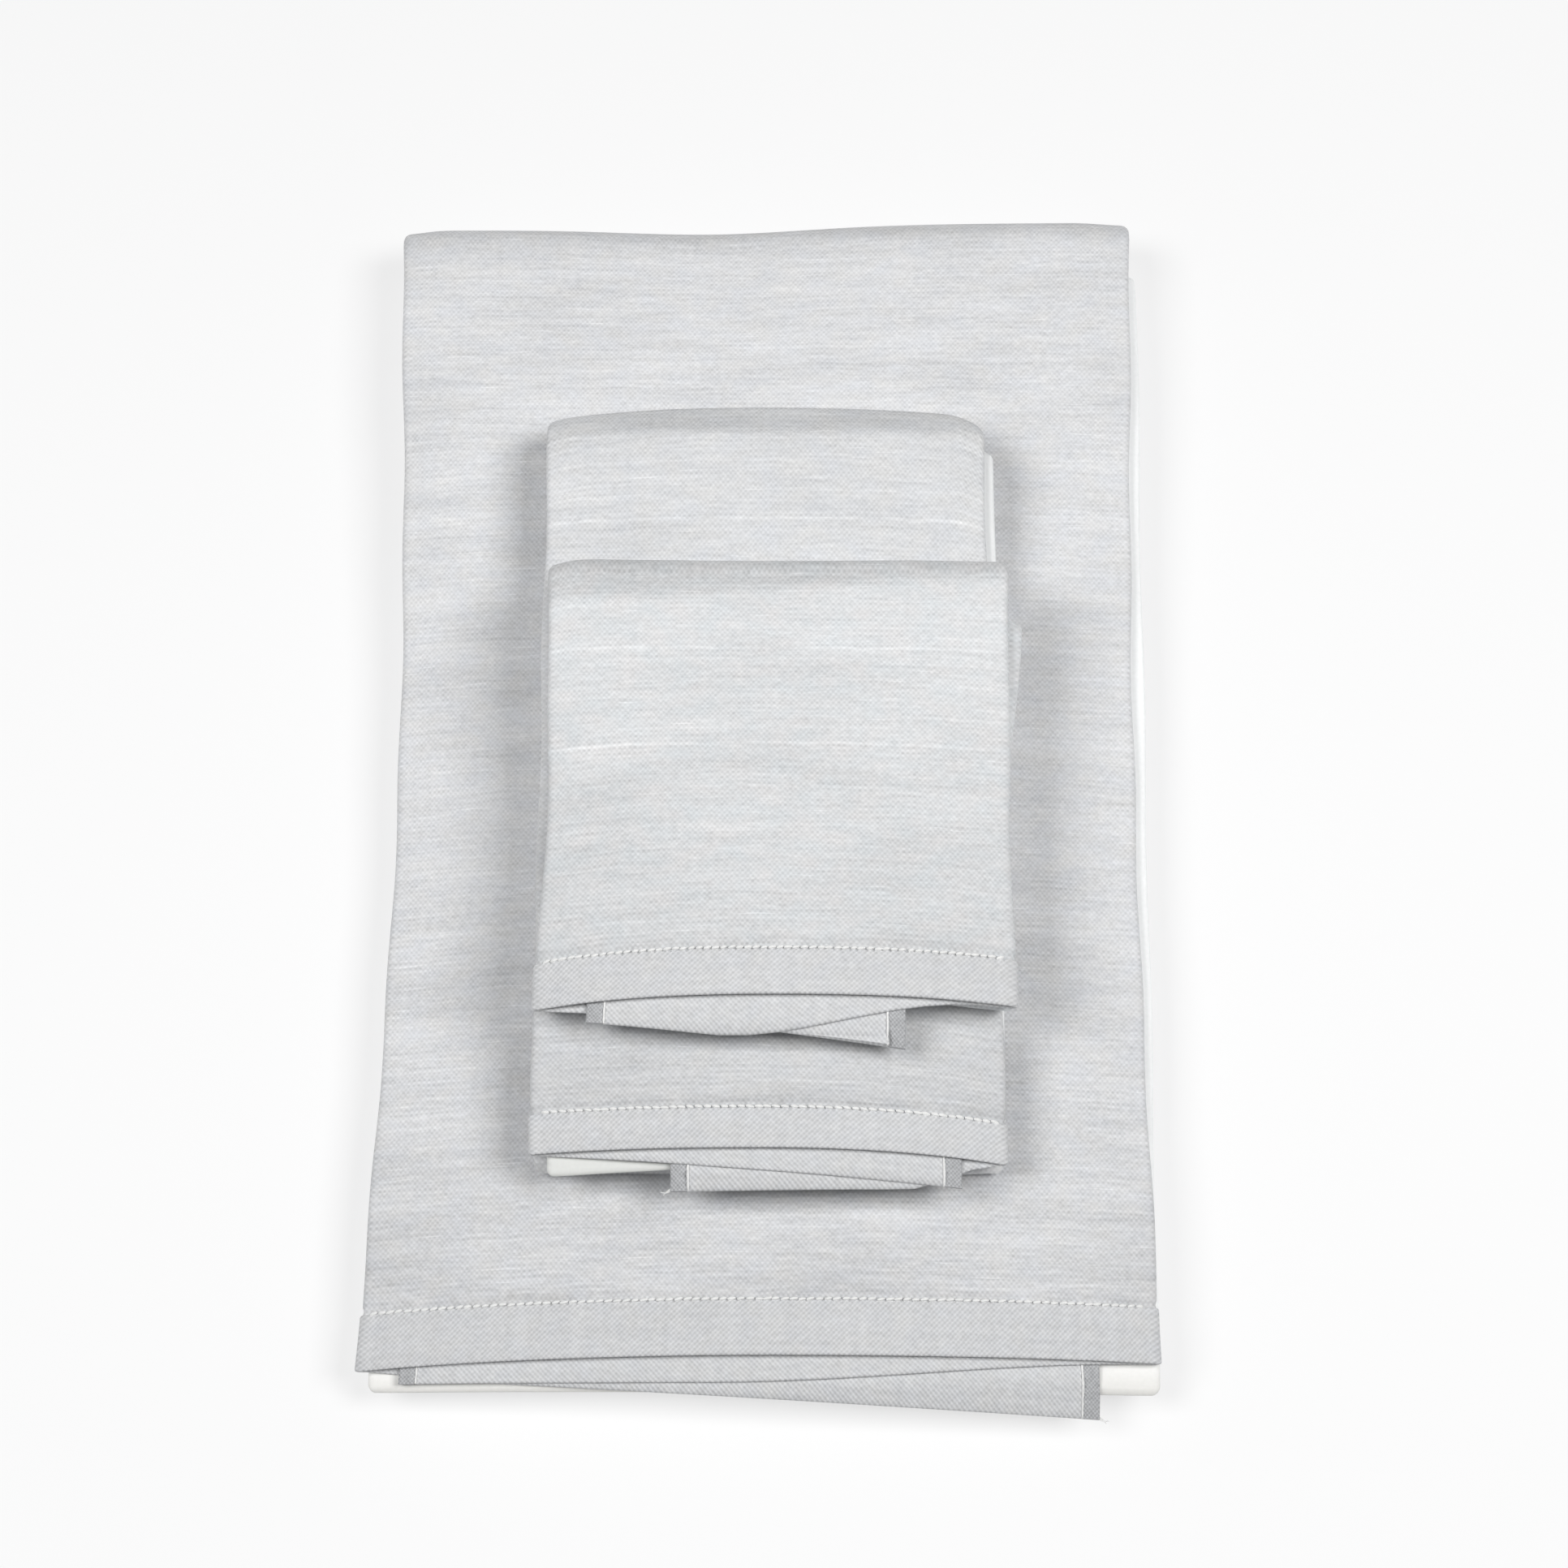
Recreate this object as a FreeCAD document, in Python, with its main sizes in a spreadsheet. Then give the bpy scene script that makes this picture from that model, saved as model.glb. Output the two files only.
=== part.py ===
import FreeCAD, Part
import math
import os
import Sketcher
from FreeCAD import Placement, Rotation, Vector

# A set of three folded towels, stacked: a bath towel, a hand towel on it and a wash cloth on top.
# Each towel is one length of cloth. It is folded in three across its width, so that a face panel covers
# one flap and then the other, and then folded lengthwise into leaves that lie on each other. A leaf is
# three layers of cloth, a back fold joins two leaves at the rear, and a front fold joins them in front.
# The right flap lies between the face panel and the left flap, or in a mirrored towel the left one does.
# The leaves under the top one stop a little short of its front edge.
# The origin is under the middle of the bath towel. +X is to the right, +Y to the rear folds, and +Z up.

SIZES = [
    # alias, millimetres
    ("layer_gap", 0.3),
    ("side_hem_width", 4.7),
    ("thread_width", 0.6),
    ("thread_height", 0.4),
    ("insert_inset", 3.0),
    ("insert_corner", 6.0),
    ("insert_edge", 1.2),
    ("bath_width", 220.0),
    ("bath_depth", 347.0),
    ("bath_middle_x", 0.0),
    ("bath_middle_y", 0.0),
    ("bath_cloth", 1.9),
    ("bath_insert", 3.5),
    ("bath_end_hem", 15.0),
    ("bath_recess", 8.5),
    ("bath_middle_inset", 12.0),
    ("bath_bottom_inset", 17.0),
    ("hand_width", 127.0),
    ("hand_depth", 218.0),
    ("hand_middle_x", 1.0),
    ("hand_middle_y", -12.5),
    ("hand_cloth", 1.55),
    ("hand_insert", 3.2),
    ("hand_end_hem", 11.0),
    ("hand_recess", 7.0),
    ("hand_middle_inset", 12.0),
    ("hand_bottom_inset", 38.0),
    ("wash_width", 128.0),
    ("wash_depth", 132.0),
    ("wash_middle_x", 3.5),
    ("wash_middle_y", -19.5),
    ("wash_cloth", 1.7),
    ("wash_end_hem", 13.0),
    ("wash_recess", 6.0),
    ("wash_middle_inset", 14.5),
    ("wash_bottom_inset", 29.5),
]

doc = FreeCAD.newDocument("bath_towel_set")
sheet = doc.addObject("Spreadsheet::Sheet", "Sizes")
for row, (alias, value) in enumerate(SIZES, start=1):
    sheet.set(f"A{row}", alias)
    sheet.set(f"B{row}", str(value))
    sheet.setAlias(f"B{row}", alias)
doc.recompute()

GAP = "Sizes.layer_gap"
SIDE_HEM = "Sizes.side_hem_width"
THREAD = "Sizes.thread_width"
QUARTER = math.pi / 2
START, END, MIDDLE = 1, 2, 3
ORIGIN = (-1, 1)
X_AXIS, Y_AXIS = -1, -2
ABOUT_X = Rotation(Vector(1, 0, 0), 180)
ABOUT_Y = Rotation(Vector(0, 1, 0), 180)
ABOUT_Z = Rotation(Vector(0, 0, 1), 180)

nodes = []


class Towel:
    """The sizes of one folded towel, as expressions on the sheet."""

    def __init__(self, name, base, mirrored=False):
        self.name = name
        self.base = base
        self.mirrored = mirrored
        self.width = f"Sizes.{name}_width"
        self.cloth = f"Sizes.{name}_cloth"
        self.end_hem = f"Sizes.{name}_end_hem"
        self.insert = f"Sizes.{name}_insert"
        self.middle_inset = f"Sizes.{name}_middle_inset"
        self.bottom_inset = f"Sizes.{name}_bottom_inset"
        self.middle_x = f"Sizes.{name}_middle_x"
        self.back = f"(Sizes.{name}_middle_y + Sizes.{name}_depth / 2)"
        self.front = f"(Sizes.{name}_middle_y - Sizes.{name}_depth / 2)"
        self.lower_front = f"({self.front} + Sizes.{name}_recess)"
        self.layer = f"({self.cloth} + {GAP})"
        self.leaf = f"(3 * {self.cloth} + 2 * {GAP})"
        self.left = f"({self.middle_x} - {self.width} / 2)"
        self.right = f"({self.middle_x} + {self.width} / 2)"
        self.big_fold = f"({self.leaf} / 2)"
        self.small_fold = f"({self.cloth} + {GAP} / 2)"

    def height(self, leaves, with_insert=False):
        """The height above the table of the underside of the leaf that has this many leaves below it."""
        added = f" + {self.insert} + {GAP}" if with_insert else ""
        return f"({self.base} + {leaves} * ({self.leaf} + {GAP}){added})"


def value(expression):
    """An expression's number now, for setting up geometry that constraints then drive."""
    return float(sheet.evalExpression(expression))


def place(obj, x, y, z, rotation=Rotation()):
    """Puts an object at a point given by three expressions."""
    obj.Placement = Placement(Vector(value(x), value(y), value(z)), rotation)
    for axis, expression in (("x", x), ("y", y), ("z", z)):
        obj.setExpression(f"Placement.Base.{axis}", expression)


def new_body(label):
    body = doc.addObject("PartDesign::Body", label)
    body.Label = label
    return body


def new_sketch(body, role):
    """A sketch on one of the body's own origin planes."""
    sketch = body.newObject("Sketcher::SketchObject", f"{body.Name}_section")
    plane = next(f for f in body.Origin.OriginFeatures if f.Role == role)
    sketch.AttachmentSupport = [(plane, "")]
    sketch.MapMode = "FlatFace"
    return sketch


def pad(body, sketch, length, midplane=False):
    feature = body.newObject("PartDesign::Pad", f"{body.Name}_pad")
    feature.Profile = sketch
    feature.setExpression("Length", length)
    if midplane:
        feature.Midplane = True
    body.Tip = feature
    return feature


def drive(sketch, name, constraint, expression):
    """Adds a named size to a sketch and binds it to the sheet."""
    index = sketch.addConstraint(constraint)
    sketch.renameConstraint(index, name)
    sketch.setExpression(f"Constraints.{name}", expression)


def line(sketch, start, end):
    return sketch.addGeometry(Part.LineSegment(Vector(*start, 0), Vector(*end, 0)))


def half_turn(sketch, middle, radius, left):
    """A semicircle that bulges left or right. Its ends are above and below its middle."""
    circle = Part.Circle(Vector(*middle, 0), Vector(0, 0, 1), radius)
    first, last = (QUARTER, 3 * QUARTER) if left else (-QUARTER, QUARTER)
    return sketch.addGeometry(Part.ArcOfCircle(circle, first, last))


def folded_section(sketch, towel):
    """The end view of a leaf with its face up: the face panel on top, the right flap turned under it, and
    the left flap turned under both. Each side fold is a half turn about the layers that it goes round."""
    cloth = value(towel.cloth)
    layer = value(towel.layer)
    half = value(towel.width) / 2
    big = value(towel.big_fold)
    small = value(towel.small_fold)
    bottom_edge = half - value(towel.bottom_inset) - value(SIDE_HEM) - value(THREAD)
    middle_edge = value(towel.middle_inset) + value(SIDE_HEM) + value(THREAD) - half
    left_x = big - half
    right_x = half - small
    right_z = layer + small
    top = 2 * layer + cloth

    under = line(sketch, (bottom_edge, 0), (left_x, 0))
    left_outside = half_turn(sketch, (left_x, big), big, True)
    face = line(sketch, (left_x, top), (right_x, top))
    right_outside = half_turn(sketch, (right_x, right_z), small, False)
    middle_under = line(sketch, (right_x, layer), (middle_edge, layer))
    middle_end = line(sketch, (middle_edge, layer), (middle_edge, layer + cloth))
    middle_top = line(sketch, (middle_edge, layer + cloth), (right_x, layer + cloth))
    right_inside = half_turn(sketch, (right_x, right_z), small - cloth, False)
    face_under = line(sketch, (right_x, 2 * layer), (left_x, 2 * layer))
    left_inside = half_turn(sketch, (left_x, big), big - cloth, True)
    bottom_top = line(sketch, (left_x, cloth), (bottom_edge, cloth))
    bottom_end = line(sketch, (bottom_edge, cloth), (bottom_edge, 0))

    smooth_joins = [
        (under, END, left_outside, END),
        (left_outside, START, face, START),
        (face, END, right_outside, END),
        (right_outside, START, middle_under, START),
        (middle_top, END, right_inside, START),
        (right_inside, END, face_under, START),
        (face_under, END, left_inside, START),
        (left_inside, END, bottom_top, START),
    ]
    corners = [
        (middle_under, END, middle_end, START),
        (middle_end, END, middle_top, START),
        (bottom_top, END, bottom_end, START),
        (bottom_end, END, under, START),
    ]
    for join in smooth_joins:
        sketch.addConstraint(Sketcher.Constraint("Tangent", *join))
    for corner in corners:
        sketch.addConstraint(Sketcher.Constraint("Coincident", *corner))
    for level in (under, face, middle_under, middle_top, face_under, bottom_top):
        sketch.addConstraint(Sketcher.Constraint("Horizontal", level))
    for upright in (middle_end, bottom_end):
        sketch.addConstraint(Sketcher.Constraint("Vertical", upright))
    for inside, outside in ((right_inside, right_outside), (left_inside, left_outside)):
        sketch.addConstraint(Sketcher.Constraint("Coincident", inside, MIDDLE, outside, MIDDLE))

    sketch.addConstraint(Sketcher.Constraint("PointOnObject", under, START, X_AXIS))
    drive(sketch, "left_fold", Sketcher.Constraint("Radius", left_outside, big), towel.big_fold)
    drive(sketch, "right_fold", Sketcher.Constraint("Radius", right_outside, small), towel.small_fold)
    drive(
        sketch,
        "left_fold_inside",
        Sketcher.Constraint("Radius", left_inside, big - cloth),
        f"{towel.big_fold} - {towel.cloth}",
    )
    across = [
        ("left_reach", left_outside, MIDDLE, -left_x, f"{towel.width} / 2 - {towel.big_fold}"),
        ("right_reach", right_outside, MIDDLE, right_x, f"{towel.width} / 2 - {towel.small_fold}"),
        (
            "middle_reach",
            middle_end,
            START,
            -middle_edge,
            f"{towel.width} / 2 - {towel.middle_inset} - {SIDE_HEM} - {THREAD}",
        ),
        (
            "bottom_reach",
            bottom_end,
            END,
            bottom_edge,
            f"{towel.width} / 2 - {towel.bottom_inset} - {SIDE_HEM} - {THREAD}",
        ),
    ]
    for name, item, point, distance, expression in across:
        to_the_left = name in ("left_reach", "middle_reach")
        ends = (item, point, *ORIGIN) if to_the_left else (*ORIGIN, item, point)
        drive(sketch, name, Sketcher.Constraint("DistanceX", *ends, distance), expression)


def leaf(label, towel, base, front, back, face_up):
    """Three layers of cloth from front to back. Half turns put a leaf's face down and mirror its flaps."""
    body = new_body(label)
    sketch = new_sketch(body, "XZ_Plane")
    folded_section(sketch, towel)
    pad(body, sketch, f"{back} - {front}")
    top = f"{base} + {towel.leaf}"
    turns = {
        (True, False): (back, base, Rotation()),
        (True, True): (front, base, ABOUT_Z),
        (False, False): (front, top, ABOUT_X),
        (False, True): (back, top, ABOUT_Y),
    }
    y, z, turn = turns[face_up, towel.mirrored]
    place(body, towel.middle_x, y, z, turn)
    nodes.append(body)


def ring(label, towel, y, z, outer, inner, first, quarters):
    """A bend of cloth: part of a ring about an axis along X, from quarter turn number first."""
    body = new_body(label)
    sketch = new_sketch(body, "YZ_Plane")
    arcs = []
    for radius in (value(outer), value(inner)):
        circle = Part.Circle(Vector(0, 0, 0), Vector(0, 0, 1), radius)
        arc = Part.ArcOfCircle(circle, first * QUARTER, (first + quarters) * QUARTER)
        arcs.append(sketch.addGeometry(arc))
    points = [sketch.getPoint(arc, end) for end in (START, END) for arc in arcs]
    ends = [
        line(sketch, points[0][:2], points[1][:2]),
        line(sketch, points[2][:2], points[3][:2]),
    ]
    for arc in arcs:
        sketch.addConstraint(Sketcher.Constraint("Coincident", arc, MIDDLE, *ORIGIN))
    for end_number, end in zip((START, END), ends):
        sketch.addConstraint(Sketcher.Constraint("Coincident", arcs[0], end_number, end, START))
        sketch.addConstraint(Sketcher.Constraint("Coincident", arcs[1], end_number, end, END))
        quarter_turn = first if end_number == START else first + quarters
        upright = quarter_turn % 2 == 1
        sketch.addConstraint(Sketcher.Constraint("Vertical" if upright else "Horizontal", end))
        sketch.addConstraint(Sketcher.Constraint("PointOnObject", end, START, Y_AXIS if upright else X_AXIS))
    drive(sketch, "outer", Sketcher.Constraint("Radius", arcs[0], value(outer)), outer)
    drive(sketch, "inner", Sketcher.Constraint("Radius", arcs[1], value(inner)), inner)
    pad(body, sketch, towel.width, midplane=True)
    place(body, towel.middle_x, y, z)
    nodes.append(body)


def slab(name, length, width, height, x, y, z):
    part = doc.addObject("Part::Box", name)
    part.setExpression("Length", length)
    part.setExpression("Width", width)
    part.setExpression("Height", height)
    place(part, x, y, z)
    return part


def group(label, parts):
    """Several like pieces as one sub-part."""
    compound = doc.addObject("Part::Compound", label)
    compound.Label = label
    compound.Links = parts
    nodes.append(compound)


def side_edges(prefix, towel, leaves):
    """The side hems, on the free edges of both flaps, and the line of thread along each hem's inner edge."""
    hems = []
    threads = []
    middle_side, bottom_side = ("right", "left") if towel.mirrored else ("left", "right")
    for number, (base, front, back, face_up) in enumerate(leaves, start=1):
        length = f"{back} - {front}"
        outer_layer = base if face_up else f"{base} + 2 * {towel.layer}"
        edges = [
            (middle_side, towel.middle_inset, f"{base} + {towel.layer}"),
            (bottom_side, towel.bottom_inset, outer_layer),
        ]
        for side, inset, z in edges:
            if side == "left":
                hem_x = f"{towel.left} + {inset}"
                thread_x = f"{hem_x} + {SIDE_HEM}"
            else:
                hem_x = f"{towel.right} - {inset} - {SIDE_HEM}"
                thread_x = f"{hem_x} - {THREAD}"
            name = f"{prefix}_{side}_{number}"
            hems.append(slab(f"{name}_hem", SIDE_HEM, length, towel.cloth, hem_x, front, z))
            threads.append(slab(f"{name}_thread", THREAD, length, towel.cloth, thread_x, front, z))
    group(f"{prefix}_side_hems", hems)
    group(f"{prefix}_side_stitching", threads)


def hem_stitching(label, towel, top):
    """The row of thread along the upper edge of the end hem, on the face panel."""
    length = f"{towel.width} - 2 * {towel.big_fold}"
    x = f"{towel.left} + {towel.big_fold}"
    y = f"{towel.front} + {towel.end_hem} - {THREAD} / 2"
    row = slab(label, length, THREAD, "Sizes.thread_height", x, y, top)
    row.Label = label
    nodes.append(row)


def insert(label, towel, base, front, back):
    """The smooth white pad that keeps the folded towel flat, with round corners and edges."""
    body = new_body(label)
    pad_box = body.newObject("PartDesign::AdditiveBox", f"{label}_box")
    pad_box.setExpression("Length", f"{towel.width} - 2 * Sizes.insert_inset")
    pad_box.setExpression("Width", f"{back} - {front}")
    pad_box.setExpression("Height", towel.insert)
    doc.recompute()
    edges = list(enumerate(pad_box.Shape.Edges, start=1))
    upright = [f"Edge{n}" for n, e in edges if abs(e.tangentAt(e.FirstParameter).z) > 0.5]
    corners = body.newObject("PartDesign::Fillet", f"{label}_corners")
    corners.Base = (pad_box, upright)
    corners.setExpression("Radius", "Sizes.insert_corner")
    doc.recompute()
    height = value(towel.insert)
    top = [
        f"Edge{n}"
        for n, e in enumerate(corners.Shape.Edges, start=1)
        if abs(e.BoundBox.ZMin - height) < 1e-6 and abs(e.BoundBox.ZMax - height) < 1e-6
    ]
    rim = body.newObject("PartDesign::Fillet", f"{label}_rim")
    rim.Base = (corners, top)
    rim.setExpression("Radius", "Sizes.insert_edge")
    body.Tip = rim
    place(body, f"{towel.left} + Sizes.insert_inset", front, base)
    nodes.append(body)


def folded_in_four(name, base, mirrored=False):
    """A towel of four leaves. The upper two, with the white insert between them, open off the lower two."""
    towel = Towel(name, base, mirrored)
    levels = [towel.height(n) for n in range(3)] + [towel.height(3, with_insert=True)]
    top = f"{levels[3]} + {towel.leaf}"
    opening = levels[2]
    closing = f"({opening} - {GAP})"
    upper_bend = f"({top} - {opening})"
    lower_bend = f"({closing} - {base})"
    nose = f"({lower_bend} / 2)"
    inner_bend = f"({towel.leaf})"
    inside = f"({GAP} / 2)"
    upper_end = f"({towel.back} - {upper_bend})"
    lower_end = f"({towel.back} - {lower_bend})"
    inner_end = f"({towel.back} - {towel.leaf} - {GAP} - {inner_bend})"
    nose_end = f"({towel.lower_front} + {nose})"
    hem_end = f"({towel.front} + {towel.end_hem})"
    second_hem_end = f"({towel.lower_front} + {towel.end_hem})"

    leaf(f"{name}_bottom_leaf", towel, levels[0], nose_end, lower_end, False)
    leaf(f"{name}_third_leaf", towel, levels[1], nose_end, inner_end, True)
    ring(f"{name}_front_fold", towel, nose_end, f"{base} + {nose}", nose, inside, 1, 2)
    lower_leaves = [
        (levels[0], nose_end, lower_end, False),
        (levels[1], nose_end, inner_end, True),
    ]
    side_edges(f"{name}_lower", towel, lower_leaves)
    bends = [
        ("lower_outer", lower_end, closing, lower_bend, f"{lower_bend} - {towel.leaf}", 3),
        ("lower_inner", inner_end, closing, inner_bend, inside, 3),
        ("upper_outer", upper_end, opening, upper_bend, f"{upper_bend} - {towel.leaf}", 0),
        ("upper_inner", inner_end, opening, inner_bend, inside, 0),
    ]
    for which, y, z, outer, inner, first in bends:
        ring(f"{name}_{which}_back_fold", towel, y, z, outer, inner, first, 1)

    leaf(f"{name}_second_leaf", towel, levels[2], second_hem_end, inner_end, False)
    leaf(f"{name}_top_leaf", towel, levels[3], hem_end, upper_end, True)
    leaf(f"{name}_second_end_hem", towel, levels[2], towel.lower_front, second_hem_end, False)
    leaf(f"{name}_top_end_hem", towel, levels[3], towel.front, hem_end, True)
    upper_leaves = [
        (levels[2], towel.lower_front, inner_end, False),
        (levels[3], towel.front, upper_end, True),
    ]
    side_edges(f"{name}_upper", towel, upper_leaves)
    insert(f"{name}_insert", towel, f"{levels[2]} + {towel.leaf} + {GAP}", towel.front, inner_end)
    hem_stitching(f"{name}_hem_stitching", towel, top)
    return top


def folded_in_three(name, base):
    """A towel of three leaves in a Z: the top one opens off the other two, which join in front."""
    towel = Towel(name, base)
    levels = [towel.height(n) for n in range(3)]
    top = f"{levels[2]} + {towel.leaf}"
    nose = f"({levels[1]} + {towel.leaf} - {base}) / 2"
    nose_end = f"({towel.lower_front} + {nose})"
    inside = f"({GAP} / 2)"
    bend_end = f"({towel.back} - {towel.leaf})"
    hem_end = f"({towel.front} + {towel.end_hem})"
    far_hem = f"({towel.back} - {towel.end_hem})"

    leaf(f"{name}_bottom_leaf", towel, levels[0], nose_end, far_hem, True)
    leaf(f"{name}_bottom_end_hem", towel, levels[0], far_hem, towel.back, True)
    leaf(f"{name}_middle_leaf", towel, levels[1], nose_end, bend_end, False)
    ring(f"{name}_front_fold", towel, nose_end, f"{base} + {nose}", nose, inside, 1, 2)
    side_edges(
        f"{name}_lower",
        towel,
        [(levels[0], nose_end, towel.back, True), (levels[1], nose_end, bend_end, False)],
    )
    closing = f"({levels[2]} - {GAP})"
    ring(f"{name}_lower_back_fold", towel, bend_end, closing, towel.leaf, inside, 3, 1)
    ring(f"{name}_upper_back_fold", towel, bend_end, levels[2], towel.leaf, inside, 0, 1)
    leaf(f"{name}_top_leaf", towel, levels[2], hem_end, bend_end, True)
    leaf(f"{name}_top_end_hem", towel, levels[2], towel.front, hem_end, True)
    side_edges(f"{name}_upper", towel, [(levels[2], towel.front, bend_end, True)])
    hem_stitching(f"{name}_hem_stitching", towel, top)


bath_top = folded_in_four("bath", "0")
hand_top = folded_in_four("hand", f"({bath_top} + {GAP})", mirrored=True)
folded_in_three("wash", f"({hand_top} + {GAP})")

doc.recompute()
for obj in doc.Objects:
    if "Invalid" in obj.State or "Error" in obj.State:
        raise RuntimeError(f"{obj.Label} failed: {obj.State}")

os.makedirs("parts", exist_ok=True)
for node in nodes:
    shape = node.Shape
    if shape.isNull() or not shape.isValid():
        raise RuntimeError(f"{node.Label} has no valid shape")
    shape.exportStep(f"parts/{node.Label}.step")
    box = shape.BoundBox
    print(f"{node.Label:28s} z {box.ZMin:7.2f} to {box.ZMax:7.2f} mm, {shape.Volume:10.0f} mm3")
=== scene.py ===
"""Looks of a folded bath towel set: a bath towel, a hand towel on it and a wash cloth on top.

Every piece of cloth is worked out in flat cloth coordinates: s across the width, v along the length and
h above the cloth's middle, in metres. Towel.place() folds such a point up and settles it on the pile.
"""

import functools
import math

import bmesh
import bpy
import numpy as np
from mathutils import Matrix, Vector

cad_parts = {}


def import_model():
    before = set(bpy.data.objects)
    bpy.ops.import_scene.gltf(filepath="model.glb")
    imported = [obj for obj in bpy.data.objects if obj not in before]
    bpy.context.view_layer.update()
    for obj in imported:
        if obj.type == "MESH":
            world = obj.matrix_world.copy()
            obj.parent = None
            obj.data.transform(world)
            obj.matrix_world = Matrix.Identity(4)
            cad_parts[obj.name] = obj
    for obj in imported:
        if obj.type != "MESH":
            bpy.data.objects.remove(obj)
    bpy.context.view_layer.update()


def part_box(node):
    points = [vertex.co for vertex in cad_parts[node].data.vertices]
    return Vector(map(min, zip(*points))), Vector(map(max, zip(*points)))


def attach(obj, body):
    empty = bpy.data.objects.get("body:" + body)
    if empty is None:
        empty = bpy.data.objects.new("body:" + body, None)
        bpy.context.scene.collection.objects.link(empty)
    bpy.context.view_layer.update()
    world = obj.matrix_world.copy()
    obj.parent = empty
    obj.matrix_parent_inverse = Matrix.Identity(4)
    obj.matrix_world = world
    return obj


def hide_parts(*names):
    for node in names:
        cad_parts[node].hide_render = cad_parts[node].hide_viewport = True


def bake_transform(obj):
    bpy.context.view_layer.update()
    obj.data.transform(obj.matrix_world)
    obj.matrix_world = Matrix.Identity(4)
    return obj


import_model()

MM = 0.001
TAU = 2 * math.pi

# How each towel lies, in millimetres. Of its side folds, the big one goes round all layers of a leaf.
# droop: how far the pile sinks in front, at its big and at its small side.
# ends: how far the face panel's front edge lies behind the cut's front, at big, in the middle, at small.
# flaps: how far the bottom and the middle flap's front edges run out: near the fold, over what width, and
# over the whole flap.
# waist: how far the big and the small side lie in, at the back, in the middle and in front.
# stray: how far a corner of the lower leaves stands out at the small side, from where to where.
# back: how far the rear fold stands out at the left, at the right, and how much more in the middle.
# corner: how far the rear fold is rounded off at the left and at the right end.
# dent: how far the rear fold is out of line at one place, where that is and how wide.
# nose: how far the front of the lower leaves has slipped forwards.
# shoulder: how far the top falls towards the rear fold at the left and at the right, and over what depth
# from a crease to the fold.
# bend: over what depth the rear fold is painted darker at the left and at the right, how softly that
# begins,
# and the share by which it is darker: painted shade where the cloth turns away from the lamps, and partly
# the dark warp that the bent weave shows.
# fade: over what depth painted shade darkens the face towards the hem, and the share by which it does.
# rear_bend: the radius of the rear fold's edges. level_back: how far in front of it the pile stays level.
# front_dip: how far the pile sinks along its front. stitch_pitch: from one whip stitch to the next.
# waves: shallow hollows, each a height, the number to the metre across and along, and a phase.
SHAPES = {
    "bath": dict(
        droop=(9.0, 6.0),
        ends=(4.0, 7.1, 5.7),
        flaps=((1.6, 30.0, 10.9), (5.3, 120.0, 0.0)),
        waist=((0.5, 5.0, 0.5), (-0.8, 3.0, 2.5)),
        back=(-0.2, 2.6, 0.0),
        corner=(1.0, 0.6),
        dent=(-2.6, -15.0, 38.0),
        shoulder=(3.4, 3.0, 8.0),
        bend=(6.0, 6.0, 9.0, 0.09),
        fade=(160.0, 0.145),
        rear_bend=6.0,
        level_back=28.0,
        front_dip=1.6,
        stitch_pitch=2.4,
        waves=((0.30, 7.0, 3.1, 0.4), (0.22, -4.0, 9.0, 2.0), (0.16, 13.0, 5.0, 4.1)),
    ),
    "hand": dict(
        droop=(7.0, 3.0),
        ends=(3.2, 6.0, 5.2),
        flaps=((6.5, 25.0, 1.0), (0.0, 20.0, 8.5)),
        waist=((1.7, 0.0, -1.1), (1.0, 0.0, 1.0)),
        back=(2.6, 2.4, 3.4),
        corner=(1.6, 4.2),
        shoulder=(4.6, 4.6, 7.0),
        nose=5.0,
        bend=(2.6, 3.0, 1.0, 0.10),
        fade=(130.0, 0.17),
        rear_bend=5.0,
        level_back=22.0,
        front_dip=1.4,
        stitch_pitch=2.3,
        waves=((0.22, 11.0, 5.0, 1.2), (0.16, -7.0, 14.0, 0.3)),
    ),
    "wash": dict(
        droop=(5.0, 1.6),
        ends=(4.8, 7.0, 5.9),
        flaps=((-0.6, 20.0, 10.9), (16.9, 80.0, -11.8)),
        waist=((1.2, 2.2, -0.3), (-0.5, 0.6, 0.0)),
        stray=(4.4, -16.0, 28.5),
        back=(0.0, 0.0, -1.0),
        corner=(2.2, 0.3),
        shoulder=(2.0, 0.6, 7.0),
        bend=(10.0, 3.0, 4.0, 0.20),
        fade=(120.0, 0.12),
        level_back=12.0,
        front_dip=1.2,
        stitch_pitch=2.15,
        waves=((0.20, 9.0, 11.0, 2.2), (0.14, -12.0, 6.0, 5.0)),
    ),
}
HEM_PROUD = 0.55 * MM  # how far an end hem stands above the face
HEM_LIFT = 1.1 * MM  # how far the top hem stands off the flaps, in the middle
HEM_LIFT_REACH = 16 * MM
FACE_STEP = 2.6 * MM  # mesh spacing on the face panel
FLAP_STEP = 7.5 * MM
SEAM_IN_FOUR = 4.0 * MM  # how far a back fold's cloth goes on into the leaves
SEAM_IN_THREE = 2.0 * MM
TUCK = 0.4 * MM  # overlap of a cloth and the hem sewn to it
CREASE = 0.25  # the rounded part of the shoulder
HANG = 0.72  # how steeply the cloth hangs in front of the pile
DROOP_POWER = 2.6
FOLLOWS = 0.85  # how closely a towel follows the droop of the one below
RIPPLE = 0.35 * MM  # unevenness of the sides
RIPPLE_LENGTH = 62 * MM
REAR_REACH = 60 * MM  # how far from the rear fold its line shapes the cloth
NOSE_REACH = 45 * MM
FRONT_REACH = 28 * MM
LEVEL_TO_WAVES = 30 * MM
ROUNDED_SHARE = 0.16  # the part of half the width in which a rear corner is rounded
SQUEEZED = 0.25  # how much flatter the flaps are close to a side fold
VALLEY_DEPTH = 0.45 * MM  # the groove along a stitched hem
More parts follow.
